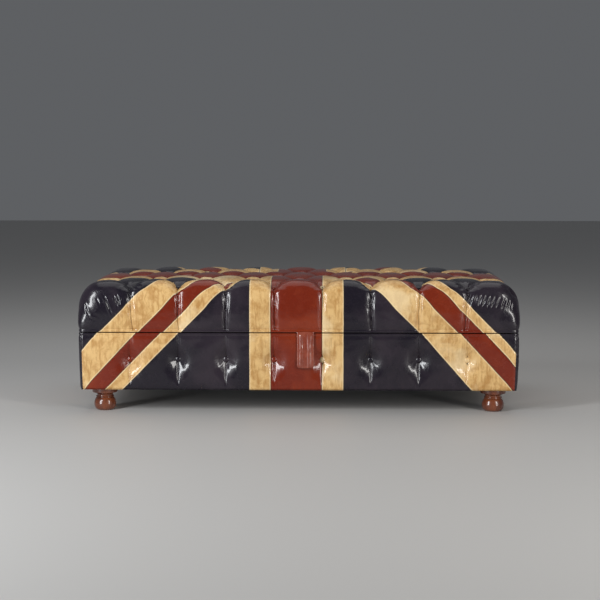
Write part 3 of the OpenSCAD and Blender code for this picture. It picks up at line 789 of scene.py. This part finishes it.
def pullTab():
    # a strap of two skins round a filler, thin at its stitched border
    width, length = tabHigh.x - tabLow.x, tabHigh.z - tabLow.z
    centreX, centreY = (tabLow.x + tabHigh.x) / 2, (tabLow.y + tabHigh.y) / 2
    halfThick = (tabHigh.y - tabLow.y) / 2
    columns, rows = round(width / tabShape["cell"]), round(length / tabShape["cell"])
    points, faces = [], []
    for skin in (-1, 1):
        for r in range(rows + 1):
            z = tabHigh.z - length * r / rows
            low = z - tabLow.z
            cut = max(0.0, tabShape["corner"] - low)
            half = width / 2 - (tabShape["corner"] - math.sqrt(max(tabShape["corner"] ** 2 - cut ** 2, 0)))
            half *= 1 - 0.025 * math.sin(math.pi * r / rows)
            for c in range(columns + 1):
                x = half * (2 * c / columns - 1)
                edge = max(0.0, min(half - abs(x), low, tabHigh.z - z))
                rim = math.sqrt(min(1.0, edge / tabShape["border"]))
                valley = 0.16 * math.exp(-((edge - 0.0075) / 0.0016) ** 2)
                ripple = 0.10 * math.sin(x * 520 + 4 * math.sin(z * 30))
                ripple = ripple * math.exp(-((z - tabHigh.z + 0.03) / 0.04) ** 2)
                across = x / half
                ridges = sum(high * math.exp(-((across - middle) / wide) ** 2)
                             for high, middle, wide in tabShape["ridges"])
                ridges *= min(1.0, (tabHigh.z - z) / tabShape["flatTop"])
                raised = 1.7 * ridges * rim if skin < 0 else 0
                thick = halfThick * (0.32 + 0.50 * rim - valley + ripple * rim + raised)
                hang = tabShape["hang"] * (1 - math.cos(math.pi * min(1.0, r / rows))) / 2
                points.append((centreX + x, centreY + skin * thick - hang, z))
    stride = (rows + 1) * (columns + 1)

    def at(skin, r, c):
        return skin * stride + r * (columns + 1) + c

    for r in range(rows):
        for c in range(columns):
            faces.append((at(0, r, c), at(0, r + 1, c), at(0, r + 1, c + 1), at(0, r, c + 1)))
            faces.append((at(1, r, c), at(1, r, c + 1), at(1, r + 1, c + 1), at(1, r + 1, c)))
    border = [(r, 0) for r in range(rows)] + [(rows, c) for c in range(columns)]
    border += [(r, columns) for r in range(rows, 0, -1)] + [(0, c) for c in range(columns, 0, -1)]
    for k, (r, c) in enumerate(border):
        r2, c2 = border[(k + 1) % len(border)]
        faces.append((at(0, r, c), at(1, r, c), at(1, r2, c2), at(0, r2, c2)))
    return divided(newPiece("pull_tab_strap", points, faces))


# The turned feet

footShape = {
    # out and up, in shares of the flange radius and the foot's height
    "profile": ((0.52, 0.0), (0.66, 0.012), (0.80, 0.09), (0.862, 0.23), (0.862, 0.31), (0.80, 0.43),
                (0.69, 0.52), (0.63, 0.538), (0.685, 0.552), (0.715, 0.575), (0.685, 0.600), (0.63, 0.612),
                (0.622, 0.64), (0.65, 0.685), (0.76, 0.722), (0.90, 0.745), (0.975, 0.762), (1.0, 0.79),
                (1.0, 0.955), (0.975, 0.985), (0.90, 1.0)),
    "spokes": 72,
}


def turnedFoot(name, node):
    low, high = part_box(node)
    centre = (low + high) / 2
    radius, tall = (high.x - low.x) / 2, high.z - low.z
    outline = footShape["profile"]
    fine = []
    for k in range(len(outline) - 1):
        before, start = outline[max(k - 1, 0)], outline[k]
        end, after = outline[k + 1], outline[min(k + 2, len(outline) - 1)]
        for step in range(4):
            t = step / 4
            fine.append(tuple(
                0.5 * (2 * start[i] + (end[i] - before[i]) * t
                       + (2 * before[i] - 5 * start[i] + 4 * end[i] - after[i]) * t * t
                       + (3 * start[i] - before[i] - 3 * end[i] + after[i]) * t ** 3) for i in (0, 1)))
    fine.append(outline[-1])
    spokes = footShape["spokes"]
    points = [(centre.x + radius * out * math.cos(2 * math.pi * s / spokes),
               centre.y + radius * out * math.sin(2 * math.pi * s / spokes),
               low.z + tall * max(up, 0)) for out, up in fine for s in range(spokes)]
    faces = [(k + s, k + (s + 1) % spokes, k + spokes + (s + 1) % spokes, k + spokes + s)
             for k in range(0, (len(fine) - 1) * spokes, spokes) for s in range(spokes)]
    faces.append(tuple(reversed(range(spokes))))
    faces.append(tuple((len(fine) - 1) * spokes + s for s in range(spokes)))
    return newPiece(name, points, faces)


print("tab and feet")
tab = pullTab()
feet = {n: turnedFoot("turned_" + n, n)
        for n in ("foot_front_left", "foot_front_right", "foot_back_left", "foot_back_right")}


# Leathers, wood, cloth, metal and foam

def newMaterial(name):
    material = bpy.data.materials.new(name)
    material.use_nodes = True
    tree = material.node_tree
    shader = tree.nodes["Principled BSDF"]
    return material, tree, shader


def put(tree, value, socket):
    if isinstance(value, bpy.types.NodeSocket):
        tree.links.new(value, socket)
    else:
        socket.default_value = value


def calc(tree, operation, *values):
    node = tree.nodes.new("ShaderNodeMath")
    node.operation = operation
    for value, socket in zip(values, node.inputs):
        put(tree, value, socket)
    return node.outputs[0]


def mixed(tree, share, first, second, blend="MIX"):
    node = tree.nodes.new("ShaderNodeMix")
    node.data_type = "RGBA"
    node.blend_type = blend
    node.clamp_factor = True
    put(tree, share, node.inputs[0])
    for value, socket in ((first, node.inputs[6]), (second, node.inputs[7])):
        put(tree, value if isinstance(value, bpy.types.NodeSocket) else (*value, 1), socket)
    return node.outputs[2]


def placeOn(tree, stretch=(1, 1, 1)):
    # object coordinates, in metres
    coordinates = tree.nodes.new("ShaderNodeTexCoord")
    mapping = tree.nodes.new("ShaderNodeMapping")
    mapping.inputs["Scale"].default_value = stretch
    tree.links.new(coordinates.outputs["Object"], mapping.inputs["Vector"])
    return mapping.outputs[0]


def noiseOf(tree, place, scale, detail=3.0, rough=0.55, twist=0.0):
    node = tree.nodes.new("ShaderNodeTexNoise")
    tree.links.new(place, node.inputs["Vector"])
    node.inputs["Scale"].default_value = scale
    node.inputs["Detail"].default_value = detail
    node.inputs["Roughness"].default_value = rough
    node.inputs["Distortion"].default_value = twist
    return node.outputs[0]


def cellsOf(tree, place, scale, feature="F1"):
    node = tree.nodes.new("ShaderNodeTexVoronoi")
    node.feature = feature
    tree.links.new(place, node.inputs["Vector"])
    node.inputs["Scale"].default_value = scale
    return node.outputs["Distance"]


def between(tree, value, low, high, toLow=0.0, toHigh=1.0):
    node = tree.nodes.new("ShaderNodeMapRange")
    node.interpolation_type = "SMOOTHSTEP"
    put(tree, value, node.inputs["Value"])
    for socket, number in zip(("From Min", "From Max", "To Min", "To Max"), (low, high, toLow, toHigh)):
        node.inputs[socket].default_value = number
    return node.outputs[0]


def bumped(tree, height, distance, strength, before=None):
    node = tree.nodes.new("ShaderNodeBump")
    node.inputs["Distance"].default_value = distance
    node.inputs["Strength"].default_value = strength
    tree.links.new(height, node.inputs["Height"])
    if before is not None:
        tree.links.new(before, node.inputs["Normal"])
    return node.outputs[0]


def attributeOf(tree, name):
    node = tree.nodes.new("ShaderNodeAttribute")
    node.attribute_name = name
    return node.outputs["Fac"]


leather = {
    "navy": (0.0095, 0.0072, 0.0130),
    "navyWorn": (0.026, 0.019, 0.027),
    "cream": (0.70, 0.455, 0.190),
    "creamStain": (0.40, 0.190, 0.045),
    "creamPale": (0.86, 0.68, 0.40),
    "red": (0.155, 0.0150, 0.0042),
    "redWorn": (0.225, 0.030, 0.0080),
    "grain": 850.0,           # pores per metre
    "stitchLine": 0.0011,
}


def leatherDetail(tree, cream):
    # pores, soft creases and a fine crackle, as one normal
    place = placeOn(tree)
    pores = cellsOf(tree, place, leather["grain"])
    creases = calc(tree, "ABSOLUTE", calc(tree, "SUBTRACT", noiseOf(tree, place, 26, 3, 0.5, 0.9), 0.5))
    creases = between(tree, creases, 0.0, 0.05)
    folds = noiseOf(tree, placeOn(tree, (1, 1, 0.45)), 34, 2, 0.5, 0.4)
    crackle = between(tree, cellsOf(tree, place, 210, "DISTANCE_TO_EDGE"), 0.0, 0.09)
    normal = bumped(tree, folds, 0.0035, 0.28)
    normal = bumped(tree, creases, 0.0006, 0.18, normal)
    if cream is not None:
        worn = mixed(tree, calc(tree, "MULTIPLY", cream, 0.8), (1, 1, 1), crackle)
        normal = bumped(tree, worn, 0.0003, 0.5, normal)
    return bumped(tree, pores, 0.00018, 0.3, normal)


def patchworkLeather():
    material, tree, shader = newMaterial("patchworkLeather")
    u, v = attributeOf(tree, "flagU"), attributeOf(tree, "flagV")
    wobble = noiseOf(tree, placeOn(tree), 9, 2)
    wobble = calc(tree, "MULTIPLY", calc(tree, "SUBTRACT", wobble, 0.5), 0.004)
    v = calc(tree, "ADD", v, wobble)
    absU = calc(tree, "ABSOLUTE", u)
    shifted = calc(tree, "ABSOLUTE", calc(tree, "ADD", u, flag["shift"]))
    across = calc(tree, "ADD", calc(tree, "MINIMUM", shifted, v), wobble)
    side = calc(tree, "SIGN", u)
    slant = calc(tree, "MULTIPLY", calc(tree, "SUBTRACT", absU, v), side)
    spread = calc(tree, "MAXIMUM", calc(tree, "SUBTRACT", v, hemFlag), 0.0)
    spread = calc(tree, "MULTIPLY", spread, flag["spread"])
    left = calc(tree, "MULTIPLY", spread, calc(tree, "LESS_THAN", u, 0.0))
    right = calc(tree, "MULTIPLY", spread, calc(tree, "GREATER_THAN", u, 0.0))
    band = calc(tree, "SUBTRACT", flag["band"], left)
    narrow = calc(tree, "SUBTRACT", flag["narrow"], calc(tree, "MULTIPLY", side, flag["uneven"]))
    narrow = calc(tree, "SUBTRACT", narrow, left)
    broad = calc(tree, "SUBTRACT", -flag["broad"], right)

    def below(value, limit):
        return calc(tree, "LESS_THAN", value, limit)

    def inside(value, low, high):
        return calc(tree, "MULTIPLY", calc(tree, "GREATER_THAN", value, low), below(value, high))

    def gap(value, edge):
        return calc(tree, "ABSOLUTE", calc(tree, "SUBTRACT", value, edge))

    inCross = below(across, flag["cream"])
    outOfCross = calc(tree, "SUBTRACT", 1.0, inCross)
    red = calc(tree, "MAXIMUM", below(across, flag["red"]),
               calc(tree, "MULTIPLY", inside(slant, 0.0, band), outOfCross))
    pale = calc(tree, "MAXIMUM", inCross, inside(slant, broad, narrow))
    cream = calc(tree, "MULTIPLY", pale, calc(tree, "SUBTRACT", 1.0, red))
    crossSeam = calc(tree, "MINIMUM", gap(across, flag["red"]), gap(across, flag["cream"]))
    bandSeam = calc(tree, "MINIMUM", gap(slant, 0.0), gap(slant, band))
    bandSeam = calc(tree, "MINIMUM", bandSeam, gap(slant, narrow))
    bandSeam = calc(tree, "MINIMUM", bandSeam, gap(slant, broad))
    bandSeam = calc(tree, "ADD", calc(tree, "MULTIPLY", bandSeam, math.sqrt(0.5)), inCross)
    seam = calc(tree, "MINIMUM", crossSeam, bandSeam)

    place = placeOn(tree)
    patches = noiseOf(tree, place, 5.5, 4, 0.6, 0.3)
    mottle = noiseOf(tree, place, 28, 5, 0.65, 0.5)
    streak = noiseOf(tree, placeOn(tree, (1, 1, 0.16)), 105, 5, 0.68)
    speck = noiseOf(tree, place, 160, 3, 0.6)
    fold = attributeOf(tree, "fold")
    edge = between(tree, seam, 0.0015, 0.006, 1.0, 0.0)

    navyColour = mixed(tree, between(tree, patches, 0.42, 0.68), leather["navy"], leather["navyWorn"])
    navyColour = mixed(tree, calc(tree, "MULTIPLY", between(tree, speck, 0.45, 0.75), 0.25), navyColour,
                       leather["navyWorn"])
    stain = calc(tree, "MULTIPLY", between(tree, mottle, 0.42, 0.66), 0.62)
    creamColour = mixed(tree, stain, leather["cream"], leather["creamStain"])
    creamColour = mixed(tree, calc(tree, "MULTIPLY", between(tree, streak, 0.47, 0.63), 0.60), creamColour,
                        leather["creamStain"])
    creamColour = mixed(tree, calc(tree, "MULTIPLY", between(tree, patches, 0.50, 0.66), 0.60), creamColour,
                        leather["creamPale"])
    creamColour = mixed(tree, calc(tree, "MULTIPLY", edge, 0.75), creamColour, leather["creamPale"])
    redColour = mixed(tree, between(tree, patches, 0.40, 0.72), leather["red"], leather["redWorn"])
    redColour = mixed(tree, calc(tree, "MULTIPLY", between(tree, mottle, 0.5, 0.8), 0.4), redColour,
                      leather["redWorn"])
    colour = mixed(tree, cream, navyColour, creamColour)
    colour = mixed(tree, red, colour, redColour)
    line = between(tree, seam, leather["stitchLine"] * 0.6, leather["stitchLine"] * 1.5, 0.80, 0.0)
    colour = mixed(tree, line, colour, (0.012, 0.007, 0.005))
    # painted shade: the fold numbers darken the colour towards near-black in the tufting folds, the pleat
    # creases, round the box buttons and at the button rims, and make those places a little rougher
    paintedShade = calc(tree, "MULTIPLY", between(tree, fold, 0.55, 1.0), 0.7)
    colour = mixed(tree, paintedShade, colour, (0.015, 0.009, 0.007))
    tree.links.new(colour, shader.inputs["Base Color"])

    rough = between(tree, mottle, 0.3, 0.7, 0.20, 0.31)
    rough = calc(tree, "ADD", rough, calc(tree, "MULTIPLY", cream, 0.12))
    rough = calc(tree, "ADD", rough, calc(tree, "MULTIPLY", paintedShade, 0.2))
    tree.links.new(rough, shader.inputs["Roughness"])
    tree.links.new(leatherDetail(tree, cream), shader.inputs["Normal"])
    shader.inputs["Specular IOR Level"].default_value = 0.26
    shader.inputs["Coat Weight"].default_value = 0.42
    shader.inputs["Coat Roughness"].default_value = 0.09
    return material


def plainLeather(name, first, second, gloss=0.35):
    material, tree, shader = newMaterial(name)
    place = placeOn(tree)
    colour = mixed(tree, between(tree, noiseOf(tree, place, 22, 4, 0.6), 0.38, 0.7), first, second)
    tree.links.new(colour, shader.inputs["Base Color"])
    rough = between(tree, noiseOf(tree, place, 60, 3), 0.3, 0.7, 0.20, 0.32)
    tree.links.new(rough, shader.inputs["Roughness"])
    tree.links.new(leatherDetail(tree, None), shader.inputs["Normal"])
    shader.inputs["Specular IOR Level"].default_value = 0.30
    shader.inputs["Coat Weight"].default_value = gloss
    shader.inputs["Coat Roughness"].default_value = 0.10
    return material


def polishedMahogany():
    material, tree, shader = newMaterial("polishedMahogany")
    grainPlace = placeOn(tree, (1, 1, 0.18))
    grain = noiseOf(tree, grainPlace, 120, 5, 0.6, 0.6)
    broad = noiseOf(tree, grainPlace, 22, 3, 0.5, 0.8)
    colour = mixed(tree, between(tree, broad, 0.35, 0.65), (0.085, 0.020, 0.009), (0.190, 0.052, 0.020))
    colour = mixed(tree, calc(tree, "MULTIPLY", between(tree, grain, 0.5, 0.75), 0.6), colour,
                   (0.035, 0.009, 0.005))
    tree.links.new(colour, shader.inputs["Base Color"])
    tree.links.new(between(tree, grain, 0.3, 0.7, 0.22, 0.32), shader.inputs["Roughness"])
    tree.links.new(bumped(tree, grain, 0.0002, 0.3), shader.inputs["Normal"])
    shader.inputs["Coat Weight"].default_value = 0.6
    shader.inputs["Coat Roughness"].default_value = 0.10
    return material


def plywood():
    material, tree, shader = newMaterial("plywood")
    long = placeOn(tree, (0.12, 1, 1))
    grain = noiseOf(tree, long, 90, 6, 0.62, 0.5)
    broad = noiseOf(tree, long, 12, 3, 0.5, 1.2)
    colour = mixed(tree, between(tree, broad, 0.35, 0.65), (0.56, 0.37, 0.19), (0.68, 0.49, 0.29))
    colour = mixed(tree, calc(tree, "MULTIPLY", between(tree, grain, 0.45, 0.7), 0.5), colour,
                   (0.37, 0.22, 0.10))
    tree.links.new(colour, shader.inputs["Base Color"])
    tree.links.new(between(tree, grain, 0.3, 0.7, 0.55, 0.72), shader.inputs["Roughness"])
    tree.links.new(bumped(tree, grain, 0.0004, 0.35), shader.inputs["Normal"])
    return material


def wovenCloth(name, dark, light, threads=900.0):
    material, tree, shader = newMaterial(name)
    place = placeOn(tree)
    split = tree.nodes.new("ShaderNodeSeparateXYZ")
    tree.links.new(place, split.inputs[0])
    diagonal = calc(tree, "ADD", split.outputs[0], split.outputs[1])
    other = calc(tree, "SUBTRACT", split.outputs[2], split.outputs[1])
    warp = calc(tree, "SINE", calc(tree, "MULTIPLY", diagonal, threads * 2))
    weft = calc(tree, "SINE", calc(tree, "MULTIPLY", other, threads * 2))
    weave = calc(tree, "MULTIPLY", warp, weft)
    lint = noiseOf(tree, place, 240, 4, 0.7)
    colour = mixed(tree, between(tree, lint, 0.35, 0.7), dark, light)
    tree.links.new(colour, shader.inputs["Base Color"])
    tree.links.new(between(tree, lint, 0.3, 0.7, 0.78, 0.94), shader.inputs["Roughness"])
    tree.links.new(bumped(tree, weave, 0.0003, 0.5), shader.inputs["Normal"])
    shader.inputs["Sheen Weight"].default_value = 0.3
    return material


def metal(name, colour, worn, low, high, stretch=(1, 1, 1)):
    material, tree, shader = newMaterial(name)
    brushed = noiseOf(tree, placeOn(tree, stretch), 420, 4, 0.6)
    tree.links.new(mixed(tree, between(tree, brushed, 0.35, 0.7), colour, worn), shader.inputs["Base Color"])
    tree.links.new(between(tree, brushed, 0.3, 0.7, low, high), shader.inputs["Roughness"])
    tree.links.new(bumped(tree, brushed, 0.0001, 0.25), shader.inputs["Normal"])
    shader.inputs["Metallic"].default_value = 1.0
    return material


def foamPadding():
    material, tree, shader = newMaterial("foamPadding")
    cells = cellsOf(tree, placeOn(tree), 600)
    colour = mixed(tree, between(tree, cells, 0.1, 0.6), (0.55, 0.48, 0.30), (0.80, 0.74, 0.55))
    tree.links.new(colour, shader.inputs["Base Color"])
    shader.inputs["Roughness"].default_value = 0.9
    tree.links.new(bumped(tree, cells, 0.0006, 0.6), shader.inputs["Normal"])
    return material


print("materials")
patchwork = patchworkLeather()
finishes = {
    "board_wood": plywood(),
    "padding": foamPadding(),
    "navy_leather": plainLeather("navyLeather", leather["navy"], leather["navyWorn"]),
    "cream_leather": plainLeather("creamLeather", leather["cream"], leather["creamStain"]),
    "red_leather": plainLeather("redLeather", leather["red"], leather["redWorn"]),
    "lining_cloth": wovenCloth("blackLining", (0.010, 0.009, 0.010), (0.030, 0.028, 0.030)),
    "turned_mahogany": polishedMahogany(),
    "steel_hardware": metal("zincSteel", (0.55, 0.56, 0.58), (0.40, 0.41, 0.43), 0.25, 0.40),
    "brass_hinges": metal("satinBrass", (0.60, 0.42, 0.17), (0.42, 0.28, 0.11), 0.22, 0.38),
    "black_paint": metal("blackTube", (0.020, 0.020, 0.022), (0.035, 0.035, 0.037), 0.28, 0.42),
}
for part in record["subparts"]:
    node = frame["nodes"][part["node"]]
    node.data.materials.clear()
    node.data.materials.append(finishes[part["material_slot"]])


# What each piece is made of, rides on and stands for

def dress(piece, material, slot, body, *nodes):
    piece.data.materials.clear()
    piece.data.materials.append(material)
    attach(piece, body)
    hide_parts(*nodes)


dress(lid, patchwork, "navy_leather", "lid", "lid_leather_navy", "lid_leather_cream", "lid_leather_red",
      "lid_foam_top", "lid_foam_front", "lid_foam_back", "lid_foam_left", "lid_foam_right")
dress(box, patchwork, "navy_leather", "base", "base_leather_navy", "base_leather_cream", "base_leather_red",
      "base_foam_front", "base_foam_back", "base_foam_left", "base_foam_right")
dress(lidButtons, patchwork, "red_leather", "lid", "lid_buttons")
dress(frontButtons, patchwork, "cream_leather", "base", "base_front_buttons")
dress(backButtons, patchwork, "cream_leather", "base", "base_back_buttons")
dress(endButtons, patchwork, "navy_leather", "base", "base_end_buttons")
tabLeather = plainLeather("tabLeather", (0.20, 0.034, 0.016), (0.30, 0.072, 0.040), 1.0)
dress(tab, tabLeather, "red_leather", "pull_tab", "pull_tab")
for node, foot in feet.items():
    dress(foot, finishes["turned_mahogany"], "turned_mahogany", "base", node)


# Floor, light and camera

studio = {
    "cameraBack": 4.698,      # from the front face
    "cameraUp": 0.904,
    "cameraTurn": 1.2,        # degrees towards the right-hand end
    "cameraTilt": 6.283,
    "lens": 84.0,
    "air": 0.14,              # strength of the light from all round
    "airColour": (0.80, 0.83, 0.88),
    "floorReach": 12.0,
    "floorColour": (0.52, 0.51, 0.495),
    # place, size, power, what it points at and colour
    "lamps": {
        "windowLeft": ((-2.5, -2.5, 1.4), (0.50, 2.5), 104, (-0.1, 0, 0.25), (0.96, 0.98, 1)),
        "windowRight": ((2.5, -2.7, 1.35), (0.45, 2.4), 66, (0.1, 0, 0.25), (1, 0.98, 0.95)),
        "overhead": ((0, 0.6, 3.0), (3.6, 2.8), 26, (0, 0, 0.3), (1, 1, 1)),
    },
}


def makeFloor():
    size = studio["floorReach"]
    floor = newPiece("floor", [(-size, -size, 0), (size, -size, 0), (size, size, 0), (-size, size, 0)],
                     [(0, 1, 2, 3)], False)
    material, _, shader = newMaterial("paleFloor")
    shader.inputs["Base Color"].default_value = (*studio["floorColour"], 1)
    shader.inputs["Roughness"].default_value = 0.6
    floor.data.materials.append(material)


def makeLamp(name, place, size, power, aim, colour):
    lamp = bpy.data.lights.new(name, "AREA")
    lamp.shape = "RECTANGLE"
    lamp.size, lamp.size_y = size
    lamp.energy = power
    lamp.color = colour
    holder = bpy.data.objects.new(name, lamp)
    holder.location = place
    holder.rotation_euler = (Vector(aim) - Vector(place)).to_track_quat("-Z", "Y").to_euler()
    bpy.context.scene.collection.objects.link(holder)


def makeStudio():
    makeFloor()
    world = bpy.data.worlds.new("air")
    world.use_nodes = True
    world.node_tree.nodes["Background"].inputs[0].default_value = (*studio["airColour"], 1)
    world.node_tree.nodes["Background"].inputs[1].default_value = studio["air"]
    bpy.context.scene.world = world
    for name, settings in studio["lamps"].items():
        makeLamp(name, *settings)
    bpy.context.scene.view_settings.view_transform = "Standard"
    turn, tilt = math.radians(studio["cameraTurn"]), math.radians(studio["cameraTilt"])
    away = studio["cameraBack"] + halfY
    camera = bpy.data.cameras.new("camera")
    camera.lens = studio["lens"]
    camera.sensor_width = 36
    holder = bpy.data.objects.new("camera", camera)
    holder.location = (math.sin(turn) * away, -math.cos(turn) * away, studio["cameraUp"])
    holder.rotation_euler = (math.pi / 2 - tilt, 0, turn)
    bpy.context.scene.collection.objects.link(holder)
    bpy.context.scene.camera = holder


print("studio")
makeStudio()
